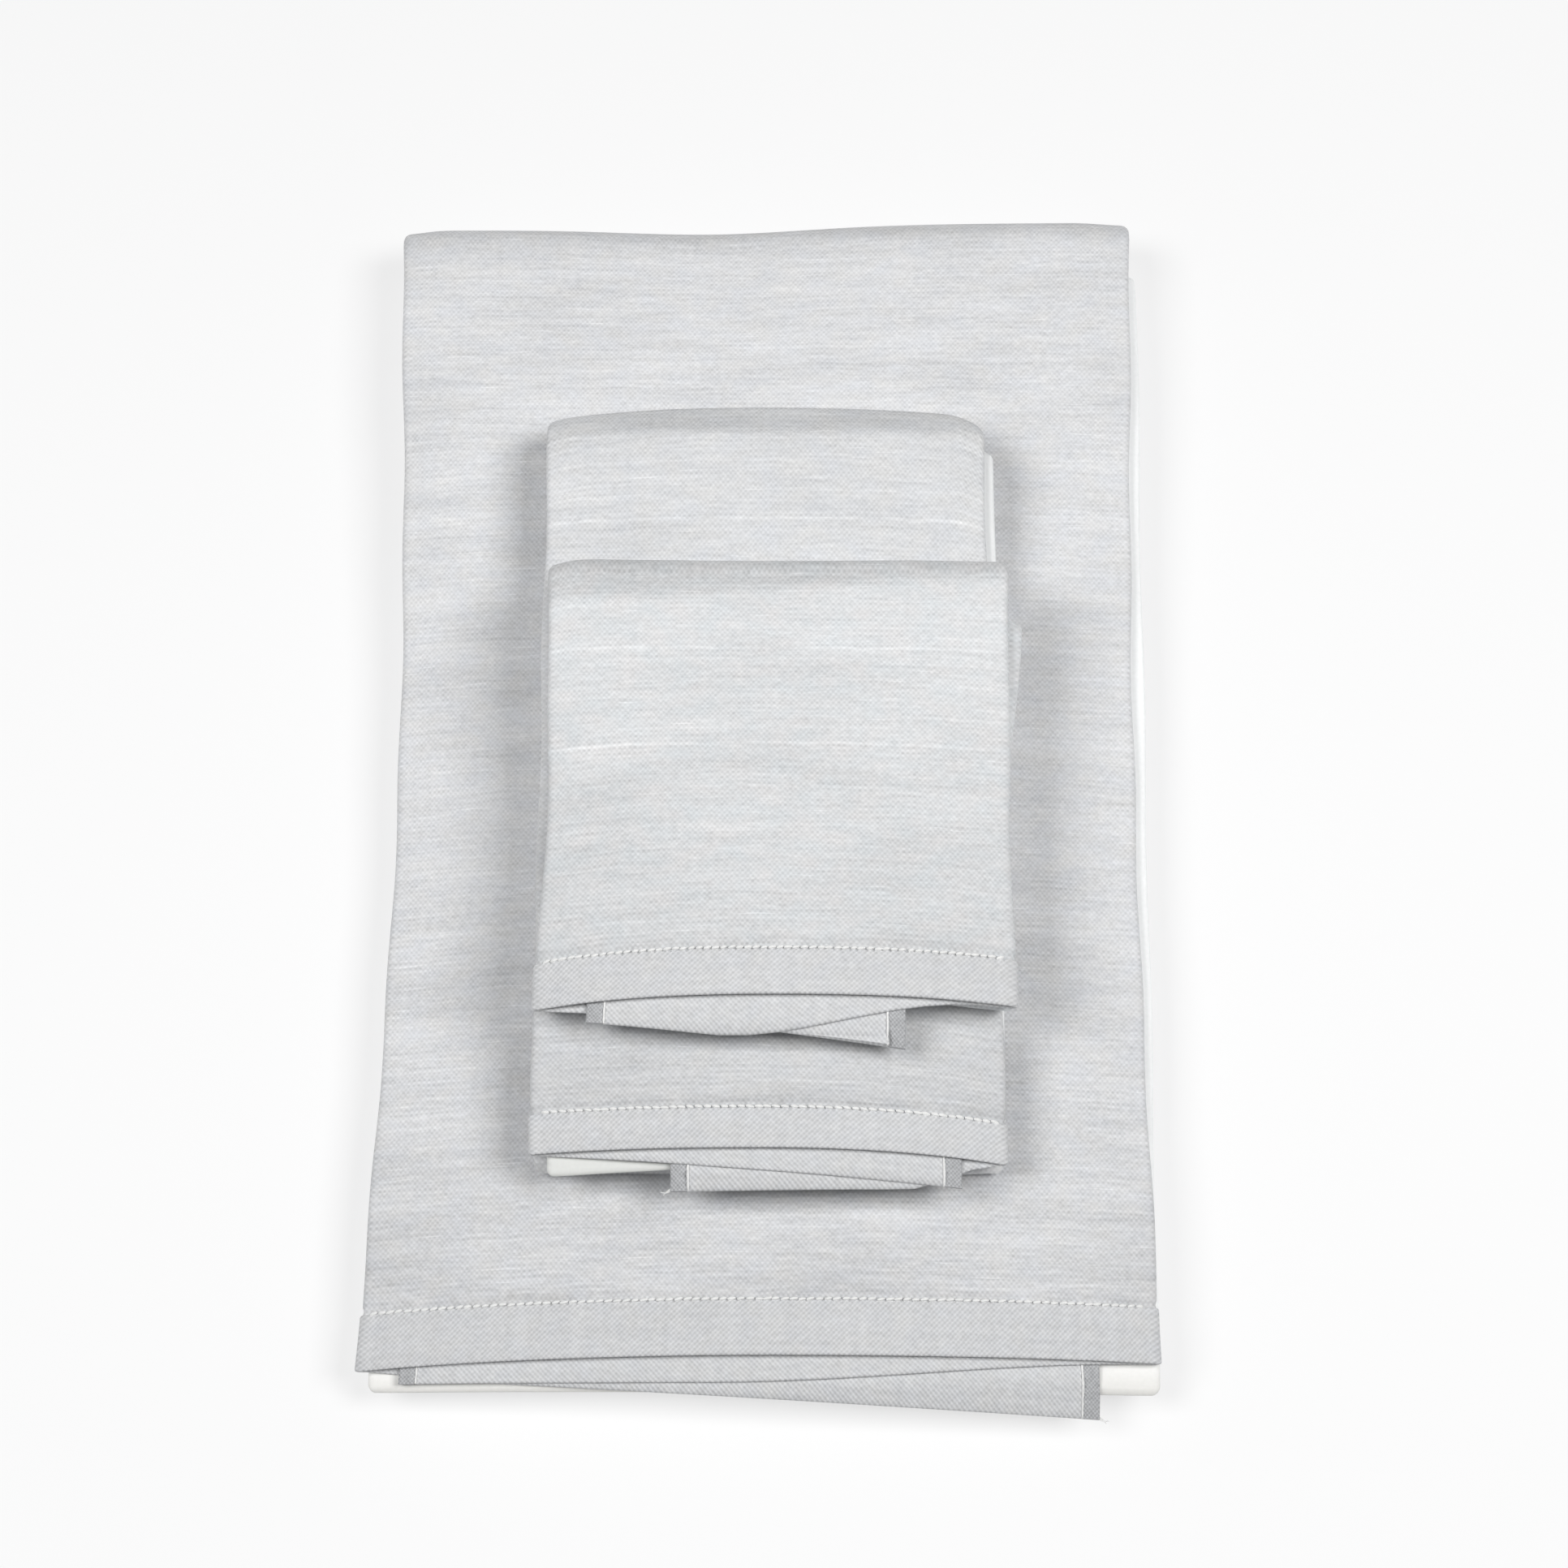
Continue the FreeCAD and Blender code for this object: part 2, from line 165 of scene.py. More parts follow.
VALLEY_WIDTH = 0.9 * MM
SIDE_HEM = 4.7 * MM
SEAM_STITCH = 1.15 * MM
STITCH_RADIUS = 0.54 * MM
STITCH_REACH = 0.42  # half a whip stitch's length, as a share of the pitch
FRAY_RADIUS = 0.14 * MM
FRAYED_THREADS = 4
THREAD_SIDES = 6


def smooth(t):
    t = np.clip(t, 0.0, 1.0)
    return t * t * (3 - 2 * t)


def spread(start, end, step):
    """Evenly spaced values from start to end, about a step apart."""
    return np.linspace(start, end, max(2, int(round(abs(end - start) / step)) + 1))


class Path:
    """The middle line of the leaves, as level runs and half turns, in the plane of y and z."""

    def __init__(self, y, z):
        self.parts = []
        self.length = 0.0
        self.y, self.z, self.heading = y, z, 0.0

    def add(self, length, curvature):
        self.parts.append((self.length, self.y, self.z, self.heading, curvature))
        self.length += length
        self.heading += curvature * length
        self.y, self.z = self.at(np.array([self.length]))[:2, 0]
        return self.length

    def run_to(self, y):
        return self.add(abs(y - self.y), 0.0)

    def half_turn(self, radius, upwards_left):
        return self.add(math.pi * radius, (1 if upwards_left else -1) / radius)

    def drop(self, height, radius):
        """Down a rear wall with round edges, and back again."""
        self.add(math.pi / 2 * radius, -1 / radius)
        self.add(height - 2 * radius, 0.0)
        return self.add(math.pi / 2 * radius, -1 / radius)

    def at(self, v):
        """y, z and the two parts of the normal at distances v along the line."""
        found = np.zeros((4, *v.shape))
        starts = [part[0] for part in self.parts]
        which = np.clip(np.searchsorted(starts, v, side="right") - 1, 0, len(starts) - 1)
        for number, (start, y, z, heading, curvature) in enumerate(self.parts):
            here = which == number
            far = v[here] - start
            now = heading + curvature * far
            if curvature:
                y = y + (np.sin(now) - math.sin(heading)) / curvature
                z = z - (np.cos(now) - math.cos(heading)) / curvature
            else:
                y = y + math.cos(heading) * far
                z = z + math.sin(heading) * far
            found[:, here] = y, z, -np.sin(now), np.cos(now)
        return found


class Towel:
    """One folded towel. Its place and sizes come from the CAD nodes that it stands for."""

    def __init__(self, name, leaves, mirrored=False, under=None):
        self.name = name
        self.mirrored = mirrored
        self.under = under
        self.shape = SHAPES[name]

        def box(node):
            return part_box(f"{name}_{node}")

        top_low, top_high = box("top_leaf")
        hem_low, hem_high = box("top_end_hem")
        fold_low, fold_high = box("upper_outer_back_fold" if leaves == 4 else "upper_back_fold")
        strips_low, strips_high = box("upper_side_hems")
        base_low = box("bottom_leaf")[0]

        self.left, self.right = top_low.x, top_high.x
        self.front, self.back = hem_low.y, fold_high.y
        self.bottom, self.opening, self.top = base_low.z, fold_low.z, top_high.z
        self.leaf = top_high.z - top_low.z
        self.cloth = 0.72 * self.leaf / 3
        self.end_hem = hem_high.y - hem_low.y
        self.middle_x = (self.left + self.right) / 2
        self.half = (self.right - self.left) / 2
        insets = [strips_low.x - self.left, self.right - strips_high.x]
        self.bottom_inset, self.middle_inset = insets if mirrored else insets[::-1]
        self.build_section()

        half_leaf = self.leaf / 2
        top_z = top_low.z + half_leaf
        base_z = base_low.z + half_leaf
        nose_y = box("front_fold")[1].y
        self.seam = SEAM_IN_FOUR if leaves == 4 else SEAM_IN_THREE
        self.path = Path(self.front, top_z)
        if leaves == 4:
            third_z = box("third_leaf")[0].z + half_leaf
            second_z = box("second_leaf")[0].z + half_leaf
            nose = (third_z - base_z) / 2
            inner = (second_z - third_z) / 2
            bend = self.shape["rear_bend"] * MM
            self.top_end = self.path.run_to(self.back - bend - half_leaf)
            self.lower_start = self.path.drop(top_z - base_z, bend)
            self.path.run_to(nose_y)
            self.path.half_turn(nose, False)
            self.lower_end = self.path.run_to(box("second_leaf")[1].y)
            self.second_start = self.path.half_turn(inner, True)
            self.second_end = self.path.run_to(box("second_end_hem")[0].y)
        else:
            middle_z = box("middle_leaf")[0].z + half_leaf
            outer = (top_z - middle_z) / 2
            nose = (middle_z - base_z) / 2
            self.top_end = self.path.run_to(self.back - outer - half_leaf)
            self.lower_start = self.path.half_turn(outer, False)
            self.path.run_to(nose_y)
            self.path.half_turn(nose, True)
            self.lower_end = self.path.run_to(self.back)

    def build_section(self):
        """The line of the cloth across a leaf, from the bottom flap's free edge to the middle flap's."""
        layer = self.leaf / 3
        turn = self.leaf / 4
        width = self.right - self.left
        near = turn + self.cloth / 2
        far = width - near

        def beside_big(x):
            return smooth((self.middle_inset - x) / (self.middle_inset - near))

        def beside_small(x):
            return smooth((x - (width - self.bottom_inset)) / (self.bottom_inset - near))

        bottom_x = spread(width - self.bottom_inset, near, MM)
        face_x = spread(near, far, MM)
        middle_x = spread(far, self.middle_inset, MM)
        quarter = np.linspace(0, math.pi, 25)[1:-1]
        bottom = (bottom_x, -layer * (1 - SQUEEZED * beside_big(bottom_x)))
        big_turn = (near - turn * np.sin(quarter), -turn * np.cos(quarter))
        squeezed = np.maximum(beside_big(face_x), beside_small(face_x))
        face = (face_x, layer * (1 - SQUEEZED * squeezed))
        small_turn = (far + turn * np.sin(quarter), turn * np.cos(quarter))
        middle = (middle_x, -0.75 * layer * beside_small(middle_x))
        parts = [bottom, big_turn, face, small_turn, middle]
        x, offset = (np.concatenate([part[i] for part in parts]) for i in (0, 1))
        self.line_s = np.concatenate([[0.0], np.cumsum(np.hypot(np.diff(x), np.diff(offset)))])
        tangent_x, tangent_offset = (np.gradient(part, self.line_s) for part in (x, offset))
        self.line = np.stack([x, offset, -tangent_offset, tangent_x])
        counts = np.cumsum([len(part[0]) for part in parts])
        self.bottom_end = self.line_s[counts[0] - 1]
        self.face_start = self.line_s[counts[1]]
        self.face_end = self.line_s[counts[2] - 1]
        self.middle_start = self.line_s[counts[3]]
        self.flat_width = self.line_s[-1]

    def flat_u(self, s):
        """s from the left, so that a mirrored towel's weave slants the same way."""
        return self.flat_width - s if self.mirrored else s

    def columns(self, start, end):
        """Values of s for a mesh: close together on the face and round the side folds."""
        parts = [
            spread(start, self.bottom_end, FLAP_STEP),
            np.linspace(self.bottom_end, self.face_start, 9)[1:],
            spread(self.face_start, self.face_end, FACE_STEP)[1:],
            np.linspace(self.face_end, self.middle_start, 9)[1:],
            spread(self.middle_start, end, FLAP_STEP)[1:],
        ]
        return np.concatenate(parts)

    def across(self, x):
        """-1 at the big side fold and 1 at the small one."""
        q = (x - self.middle_x) / self.half
        return -q if self.mirrored else q

    def by_side(self, key, q):
        """The numbers of a shape, each as it is on the side of q."""
        big, small = (np.atleast_1d(side) * MM for side in self.shape[key])
        return [np.where(q < 0, *pair) for pair in zip(big, small)]

    def fullness(self, x, y):
        """How much of its full height the pile has at a place. It sinks towards its sides and its front."""
        q = self.across(x)
        height = self.top - self.bottom
        depth = self.back - self.front
        level = self.shape["level_back"] * MM
        forward = smooth((self.back - level - y) / (0.5 * depth))
        sunk = self.by_side("droop", q)[0] * np.abs(q) ** DROOP_POWER * forward
        sunk = sunk + self.shape["front_dip"] * MM * smooth((self.front + FRONT_REACH - y) / FRONT_REACH)
        away = smooth((self.back - level - y) / LEVEL_TO_WAVES)
        for size, per_x, per_y, phase in self.shape["waves"]:
            sunk = sunk + size * MM * away * np.sin(TAU * (per_x * x + per_y * y) + phase)
        return 1 - sunk / height

    def ground(self, x, y):
        """The height of what the towel lies on."""
        if self.under is None:
            return np.full(np.shape(x), self.bottom)
        flatter = self.under.middle_x + FOLLOWS * (x - self.under.middle_x)
        return self.under.surface(flatter, y) + self.bottom - self.under.top

    def surface(self, x, y):
        """The height of the towel's top."""
        return self.ground(x, y) + (self.top - self.bottom) * self.fullness(x, y)

    def face_share(self, s):
        """From -1 at the face panel's big side fold to 1 at the small one."""
        return np.clip((s - self.face_start) / (self.face_end - self.face_start), 0, 1) * 2 - 1

    def front_shift(self, s, v):
        """How far a point of the top leaf lies behind its place in the even folding."""
        q = self.face_share(s)
        at_big, at_middle, at_small = (e * MM for e in self.shape["ends"])
        at_side = np.where(q < 0, at_big, at_small)
        shift = at_middle + (at_side - at_middle) * q * q
        lengths = (self.bottom_end, self.flat_width - self.middle_start)
        distances = (self.bottom_end - s, s - self.middle_start)
        for length, distance, (near, near_width, far) in zip(lengths, distances, self.shape["flaps"]):
            distance = np.clip(distance, 0, None)
            shift = shift - near * MM * smooth(distance / (near_width * MM))
            shift = shift - far * MM * distance / length
        return shift * np.clip(1 - v / self.top_end, 0, 1)

    def lift(self, s, v):
        """The face panel's front edge stands off the flaps under it."""
        q = self.face_share(s)
        return HEM_LIFT * (1 - q**4) * np.exp(-v / HEM_LIFT_REACH)

    def place(self, s, v, h):
        """Folds points given in cloth coordinates, and settles them on the pile."""
        s, v, h = np.broadcast_arrays(*(np.asarray(a, float) for a in (s, v, h)))
        x, offset, normal_x, normal_offset = (np.interp(s, self.line_s, row) for row in self.line)
        beyond = s - np.clip(s, 0, self.flat_width)
        x = x + h * normal_x - beyond
        offset = offset + h * normal_offset
        x = self.right - x if self.mirrored else self.left + x
        y, z, normal_y, normal_z = self.path.at(v)
        y = y + offset * normal_y + self.front_shift(s, v)
        z = z + offset * normal_z
        points = self.settle(x, y, z)
        points[..., 2] += np.where(v < self.top_end, self.lift(s, np.clip(v, 0, None)), 0)
        return points

    def settle(self, x, y, z, own_waist=True):
        """The pull of the waist, the line of the rear fold, and the way the pile sinks."""
        q = self.across(x)
        depth = self.back - self.front
        t = (self.back - y) / depth
        if own_waist:
            x = x + RIPPLE * q**4 * np.sin(TAU * (y / RIPPLE_LENGTH + 0.3 * np.sign(q)))
            at_back, mid, in_front = self.by_side("waist", q)
            pulled = at_back * (1 - t) + mid * np.sin(math.pi * np.clip(t, 0, 1)) + in_front * t
            x = x - (x - self.middle_x) / self.half * pulled
            x = x + self.stray_corner(q, y, z)
        at_left, at_right, crown = (b * MM for b in self.shape["back"])
        corner_share = smooth((x - self.left) / (self.right - self.left))
        corner = at_left + (at_right - at_left) * corner_share
        dent, dent_x, dent_width = (d * MM for d in self.shape.get("dent", (0.0, 0.0, 1.0)))
        stand = corner + crown * (1 - q * q) + dent * np.exp(-(((x - dent_x) / dent_width) ** 2))
        rounded = np.where(x < self.middle_x, *(c * MM for c in self.shape["corner"]))
        stand = stand - rounded * np.clip((np.abs(q) - 1) / ROUNDED_SHARE + 1, 0, 1) ** 2
        y = y + stand * smooth((y - (self.back - REAR_REACH)) / REAR_REACH)
        slipped = self.shape.get("nose", 0.0) * MM * smooth((self.front + NOSE_REACH - y) / NOSE_REACH)
        y = y - np.where(z < self.opening, slipped, 0)
        z = z - self.shoulder_drop(corner_share, y, z)
        z = z - np.where(z > self.opening, HANG * np.clip(self.front - y, 0, None), 0)
        z = self.ground(x, y) + (z - self.bottom) * self.fullness(x, y)
        return np.stack([x, y, z], -1)

    def stray_corner(self, q, y, z):
        """How far the lower leaves stand out sideways where a corner of theirs has slipped."""
        out, start, end = (d * MM for d in self.shape.get("stray", (0.0, 0.0, 1.0)))
        along = smooth((y - start) / (end - start)) * (1 - smooth((y - end) / (2.5 * MM)))
        return out * along * smooth((q - 0.7) / 0.3) * smooth((self.opening - z) / (1.5 * MM))

    def shoulder_drop(self, share, y, z):
        """How far the cloth above the opening falls towards the rear fold."""
        at_left, at_right, depth = (d * MM for d in self.shape["shoulder"])
        drop = at_left + (at_right - at_left) * share
        height = np.clip((z - self.opening) / (self.top - self.opening), 0, 1)
        beyond = np.clip((y - (self.back - depth)) / depth, 0, 1.4)
        ramp = np.where(beyond < CREASE, beyond**2 / (2 * CREASE), beyond - CREASE / 2)
        return drop * ramp * height**2


# Mesh building


def quads(rows, columns, start=0, closed=False):
    """The faces of a grid of points. closed joins the last column to the first."""
    r = np.arange(rows - 1)[:, None] * columns
    c = np.arange(columns if closed else columns - 1)[None, :]
    n = (c + 1) % columns
    corners = [r + c, r + n, r + columns + n, r + columns + c]
    return np.stack(corners, -1).reshape(-1, 4) + start


def closed_sheet(rows, columns, reverse_kind):
    """The faces of two grids of points, one above the other, with a rim between them."""
    count = rows * columns
    index = np.arange(count).reshape(rows, columns)
    rim = np.concatenate([index[0, :-1], index[:-1, -1], index[-1, :0:-1], index[:0:-1, 0]])
    following = np.roll(rim, -1)
    sides = np.stack([rim, rim + count, following + count, following], -1)
    reverse = quads(rows, columns, count)[:, ::-1]
    return [(quads(rows, columns), 0), (reverse, reverse_kind), (sides, reverse_kind)]


def turn_outwards(mesh, weld=False):
    work = bmesh.new()
    work.from_mesh(mesh)
    if weld:
        bmesh.ops.remove_doubles(work, verts=work.verts, dist=1e-6)
    bmesh.ops.recalc_face_normals(work, faces=work.faces)
    work.to_mesh(mesh)
    work.free()


class Build:
    """Points, faces and flat cloth coordinates gathered for one piece."""

    def __init__(self):
        self.points, self.uvs, self.faces, self.kinds = [], [], [], []
        self.count = 0

    def add(self, points, uvs, groups):
        """groups is a list of (faces, the number of their material)."""
        points = np.asarray(points).reshape(-1, 3)
        self.points.append(points)
        self.uvs.append(np.asarray(uvs, float).reshape(-1, 2))
        for faces, kind in groups:
            self.faces += [[int(i) + self.count for i in face] for face in faces]
            self.kinds += [kind] * len(faces)
        self.count += len(points)

    def finish(self, name, materials, slot, sharp=50.0):
        mesh = bpy.data.meshes.new(name)
        mesh.from_pydata(np.concatenate(self.points).tolist(), [], self.faces)
        mesh.polygons.foreach_set("material_index", self.kinds)
        layer = mesh.uv_layers.new(name="cloth")
        corner = np.zeros(len(mesh.loops), int)
        mesh.loops.foreach_get("vertex_index", corner)
        layer.data.foreach_set("uv", np.concatenate(self.uvs)[corner].ravel())
        for material in materials:
            mesh.materials.append(material)
        turn_outwards(mesh)
        mesh.shade_smooth()
        mesh.set_sharp_from_angle(angle=math.radians(sharp))
        piece = bpy.data.objects.new(name, mesh)
        bpy.context.scene.collection.objects.link(piece)
        return piece


def add_sheet(build, towel, s, v, valley=None):
    """A closed sheet of cloth: its face, its reverse and the rims. Kinds: 0 face, 1 reverse."""
    grid_s, grid_v = np.meshgrid(s, v)
    half = towel.cloth / 2
    above = np.full(grid_s.shape, half)
    if valley is not None:
        above = above - VALLEY_DEPTH * np.exp(-(((grid_v - valley) / VALLEY_WIDTH) ** 2))
    face = towel.place(grid_s, grid_v, above)
    reverse = towel.place(grid_s, grid_v, -half)
    uv = np.stack([towel.flat_u(grid_s), grid_v], -1)
    build.add(np.stack([face, reverse]), np.stack([uv, uv]), closed_sheet(*grid_s.shape, 1))


def add_rings(build, towel, rings, kind=0):
    """A closed tube through rings of points in cloth coordinates, shaped (rings, points, 3)."""
    count, around = rings.shape[:2]
    points = towel.place(rings[..., 0], rings[..., 1], rings[..., 2])
    body = quads(count, around, closed=True)
    ends = [list(range(around))[::-1], list(range((count - 1) * around, count * around))]
    uv = np.stack([towel.flat_u(rings[..., 0]), rings[..., 1]], -1)
    build.add(points, uv, [(body, kind), (ends, kind)])


def add_thread(build, towel, centres, radii, tall=1.0, kind=0):
    """A thread along centres in cloth coordinates. tall stretches its section away from the cloth."""
    along = np.gradient(centres, axis=0)
    along /= np.linalg.norm(along, axis=1)[:, None]
    side = np.cross(along, [0, 0, 1.0])
    side /= np.linalg.norm(side, axis=1)[:, None] + 1e-12
    up = np.cross(side, along)
    angles = np.linspace(0, TAU, THREAD_SIDES, endpoint=False)[:, None]
    round_it = np.cos(angles) * side[:, None] + tall * np.sin(angles) * up[:, None]
    add_rings(build, towel, centres[:, None] + round_it * np.asarray(radii)[:, None, None], kind)


def rounded_strip(width, low, high, soften):
    """A closed outline, width by the heights low to high, with round corners, as (across, height)."""
    far = width - soften
    between = spread(soften, far, 1.6 * MM)[1:-1]
    corners = [
        (far, high - soften, [(across, high) for across in between[::-1]]),
        (soften, high - soften, []),
        (soften, low + soften, [(across, low) for across in between]),
        (far, low + soften, []),
    ]
    outline = []
    for quarter, (across, height, following) in enumerate(corners):
        for part in (0.0, 0.5, 1.0):
            angle = (quarter + part) * math.pi / 2
            outline.append((across + soften * math.cos(angle), height + soften * math.sin(angle)))
        outline.extend(following)
    return np.array(outline)


# Materials


class Nodes:
    """A node tree, with short calls for the nodes that cloth needs."""

    def __init__(self, name, group="materials", shader="Principled BSDF"):
        self.owner = getattr(bpy.data, group).new(name)
        self.owner.use_nodes = True
        self.tree = self.owner.node_tree
        self.shader = self.tree.nodes[shader]

    def new(self, kind, **settings):
        node = self.tree.nodes.new(kind)
        for key, value in settings.items():
            setattr(node, key, value)
        return node

    def put(self, value, socket):
        if isinstance(value, bpy.types.NodeSocket):
            self.tree.links.new(value, socket)
        else:
            socket.default_value = value

    def fill(self, node, inputs):
        """Puts values or links in inputs, by name or number, and gives the first output."""
        for key, value in inputs.items():
            self.put(value, node.inputs[key])
        return node.outputs[0]

    def math(self, operation, *values):
        return self.fill(self.new("ShaderNodeMath", operation=operation), dict(enumerate(values)))

    times = functools.partialmethod(math, "MULTIPLY")
    plus = functools.partialmethod(math, "ADD")
    minus = functools.partialmethod(math, "SUBTRACT")
    over = functools.partialmethod(math, "DIVIDE")
    least = functools.partialmethod(math, "MINIMUM")
    most = functools.partialmethod(math, "MAXIMUM")

    def limit(self, value, low, high):
        return self.most(self.least(value, high), low)

    def bell(self, value, centre, half_width):
        """1 at the centre and a half at half_width from it."""
        off = self.over(self.minus(value, centre), half_width)
        return self.math("POWER", 0.5, self.times(off, off))

    def parts(self, vector):
        node = self.new("ShaderNodeSeparateXYZ")
        self.fill(node, {0: vector})
        return node.outputs

    def flat(self):
        """The cloth's own coordinates across and along, in metres."""
        return self.parts(self.new("ShaderNodeUVMap", uv_map="cloth").outputs[0])[:2]

    def noise(self, u, v, per_u, per_v, seed, contrast=1.0, detail=2.0):
        """Noise with a different number of features to the metre across and along, around 0."""
        place = {0: self.times(u, per_u), 1: self.times(v, per_v), 2: seed}
        vector = self.fill(self.new("ShaderNodeCombineXYZ"), place)
        node = self.new("ShaderNodeTexNoise")
        self.fill(node, {"Scale": 1.0, "Detail": detail, "Vector": vector})
        return self.times(self.minus(node.outputs["Fac"], 0.5), contrast)

    def wave(self, value, per_metre):
        return self.math("SINE", self.times(value, TAU * per_metre))

    def total(self, *values):
        return functools.reduce(self.plus, values)

    def shade(self, colour, other, tint, brightness, height, depth, strength):
        """Colour between two tints, times a brightness, and bump from a height."""
        mix = self.new("ShaderNodeMix", data_type="RGBA")
        self.fill(mix, {"Factor": tint, 6: (*colour, 1), 7: (*other, 1)})
        scale = self.new("ShaderNodeVectorMath", operation="SCALE")
        scaled = self.fill(scale, {0: mix.outputs[2], "Scale": brightness})
        bump = self.new("ShaderNodeBump")
        normal = self.fill(bump, {"Strength": strength, "Distance": depth, "Height": height})
        self.fill(self.shader, {"Base Color": scaled, "Normal": normal})

    def finish(self, roughness, sheen=0.0, specular=0.2):
        looks = {"Roughness": roughness, "Sheen Weight": sheen, "Specular IOR Level": specular}
        self.fill(self.shader, {**looks, "Sheen Roughness": 0.6})
        return self.owner


def painted_fold_shade(n, towel, u, v):
    """How far the cloth is dimmed where it bends round the rear fold: painted shade where it turns away
    from the lamps, and partly the dark warp that shows there.
    """
    left_depth, right_depth, soft, darker = towel.shape["bend"]
    left_u, right_u = sorted(towel.flat_u(s) for s in (towel.face_start, towel.face_end))
    share = n.over(n.minus(u, left_u), right_u - left_u)
    crease = n.plus(n.times(share, (left_depth - right_depth) * MM), towel.top_end - left_depth * MM)
    crease = n.plus(crease, n.noise(u, v, 14, 0, 3.0, 0.004))
    past_crease = n.over(n.minus(v, crease), soft * MM)
    before_end = n.over(n.minus(towel.lower_start + 2 * MM, v), 3 * MM)
    return n.times(n.limit(n.least(past_crease, before_end), 0.0, 1.0), -darker)


def painted_front_shade(n, towel, v):
    """How far the face is dimmed towards its hem: painted shade, as less light reaches the front."""
    depth, darker = towel.shape["fade"]
    return n.times(n.minus(n.least(n.over(v, depth * MM), 1.0), 1.0), darker)


def face_weave(towel, colour, other, streak, seed, long_slubs=()):
    """The face: dots where light weft passes over, thick places in the weft, mottled yarn, and painted
    shade round the rear fold, towards the hem and in the puckers above the hem stitches.
    long_slubs are places along the cloth where one thick white pick runs right across."""
    n = Nodes(f"{towel.name}_face")
    u, v = n.flat()
    # Painted shade: darker round the rear fold and towards the hem.
    painted_shade = n.plus(painted_fold_shade(n, towel, u, v), painted_front_shade(n, towel, v))
    thread_u = n.plus(u, n.noise(u, v, 90, 90, seed, 0.0012))
    thread_v = n.plus(v, n.noise(u, v, 60, 60, seed + 3, 0.0014))
    rows = n.wave(thread_v, PICKS)
    dots = n.plus(n.times(n.wave(thread_u, ENDS), rows), n.times(rows, 0.20))
    dots = n.times(dots, n.plus(n.noise(u, v, 260, 320, seed + 5, 1.6, detail=1.0), 1.0))
    picks = n.noise(u, thread_v, 95, 2 * PICKS, seed + 7, 0.17 * streak, detail=1.0)
    slubs = n.noise(u, thread_v, 30, 480, seed + 11, 0.19 * streak)
    patches = n.noise(u, v, 22, 70, seed + 17, 0.22 * streak)
    flecks = n.noise(u, v, 500, 900, seed + 23, 0.34)
    strong = n.noise(u, thread_v, 60, 1300, seed + 29, detail=1.0)
    bright = n.limit(n.times(n.minus(strong, 0.19), 1.8 * streak), 0.0, 0.13)
    thick = n.most(n.plus(n.noise(u, v, 75, 75, seed + 37, 0.55), 0.085), 0.02)
    for place in long_slubs:
        bright = n.plus(bright, n.times(n.bell(thread_v, place, 0.42 * MM), thick))
    dotted = n.times(dots, 0.092)
    # Painted shade in the puckers just above the hem stitches.
    pucker_shade = n.minus(n.noise(u, v, 330, 20, seed + 41, 0.24), 0.06)
    painted_pucker_shade = n.times(n.bell(v, towel.end_hem + 1.7 * MM, 1.3 * MM), pucker_shade)
    brightness = n.total(1.0, dotted, picks, slubs, patches, flecks, bright, painted_shade, painted_pucker_shade)
    height = n.total(n.times(dots, 0.6), n.times(picks, 1.2), bright)
    tint = n.plus(n.noise(u, v, 120, 160, seed + 31, 2.4, detail=1.0), 0.5)
    n.shade(colour, other, tint, brightness, height, 0.00022, 0.45)
    return n.finish(0.88, sheen=0.12)


def reverse_weave(name, slant, seed):
    """The reverse: short floats of the light weft. slant is how much the dots run together into a
    slanting twill."""
    n = Nodes(name)
    u, v = n.flat()
    thread_u = n.plus(u, n.noise(u, v, 70, 70, seed, 0.0012))
    climb = n.times(v, REVERSE_PICKS / ENDS)
    falling = n.times(n.wave(n.minus(thread_u, climb), ENDS), 0.5 + slant)
    rising = n.times(n.wave(n.plus(thread_u, climb), ENDS), 0.5 - slant)
    dots = n.plus(falling, rising)
    flecks = n.noise(u, v, 500, 800, seed + 5, 0.34)
    slubs = n.noise(u, v, 16, 500, seed + 9, 0.16)
    ribs = n.noise(u, v, 260, 14, seed + 17, 0.16)
    brightness = n.total(1.0, n.times(dots, 0.130), flecks, slubs, ribs)
    height = n.total(n.times(dots, 0.7), flecks)
    tint = n.plus(n.noise(u, v, 150, 150, seed + 13, 2.0, detail=1.0), 0.5)
    n.shade(*DULL_GREYS, tint, brightness, height, 0.00025, 0.6)
    return n.finish(0.9, sheen=0.1)


def tape(name, colour):
    """The folded side hem: close darker ribs across the strip."""
    n = Nodes(name)
    u, v = n.flat()
    ribs = n.times(n.wave(v, 940), n.wave(u, 940))
    flecks = n.noise(u, v, 700, 900, 4.0, 0.60)
    brightness = n.total(1.0, n.times(ribs, 0.20), flecks)
    other = tuple(1.06 * c for c in colour)
    n.shade(colour, other, 0.5, brightness, n.total(ribs, flecks), 0.0002, 0.6)
    return n.finish(0.9, sheen=0.1)


def thread(name, colour):
    """Twisted sewing thread."""
    n = Nodes(name)
    u, v = n.flat()
    twist = n.wave(n.plus(u, v), 2400)
    worn = n.noise(u, v, 300, 300, 9.0, 0.16)
    brightness = n.total(1.0, n.times(twist, 0.05), worn)
    other = tuple(0.97 * c for c in colour)
    n.shade(colour, other, 0.5, brightness, twist, 0.0001, 0.5)
    return n.finish(0.7, sheen=0.1, specular=0.3)


